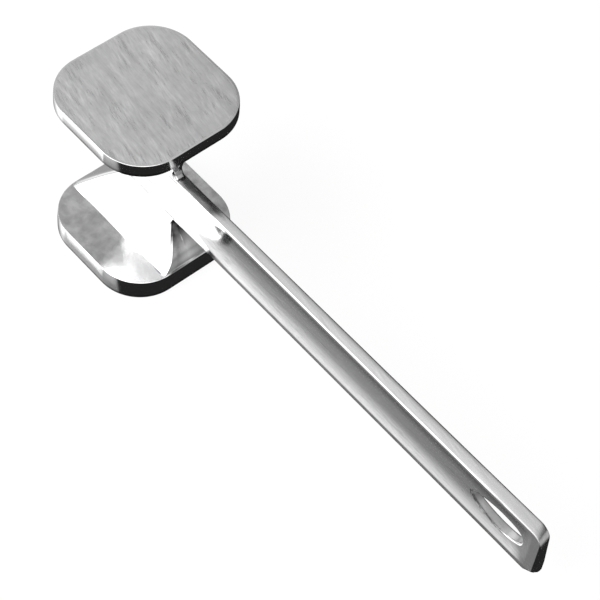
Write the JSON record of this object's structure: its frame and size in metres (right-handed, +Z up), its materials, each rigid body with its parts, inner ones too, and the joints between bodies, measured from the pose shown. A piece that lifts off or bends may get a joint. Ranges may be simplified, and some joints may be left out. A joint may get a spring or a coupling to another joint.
{
  "type": "meat mallet",
  "caption": "Hand mallet for flattening meat: a smooth and a toothed striking plate on waisted pedestals, with a deep flat handle bar that is troughed along its sides and ends in a hang hole.",
  "frame": {"origin": "on the surface that the mallet stands on, under the middle of its whole length, in its plane of symmetry", "axes": "+Z up from the toothed plate to the smooth plate, +X along the handle towards its tail, +Y across the handle"},
  "size_m": [0.2396, 0.058, 0.0794],
  "materials": {
    "satin_plate": "satin, brushed in one direction",
    "cast_plate": "cast, lightly polished",
    "polished_pedestal": "bright polished",
    "polished_handle": "bright polished, fine lengthwise marks"
  },
  "bodies": {
    "root": {"smooth_plate": "satin_plate", "toothed_plate": "cast_plate", "upper_pedestal": "polished_pedestal", "lower_pedestal": "polished_pedestal", "handle_bar": "polished_handle"}
  },
  "joints": []
}
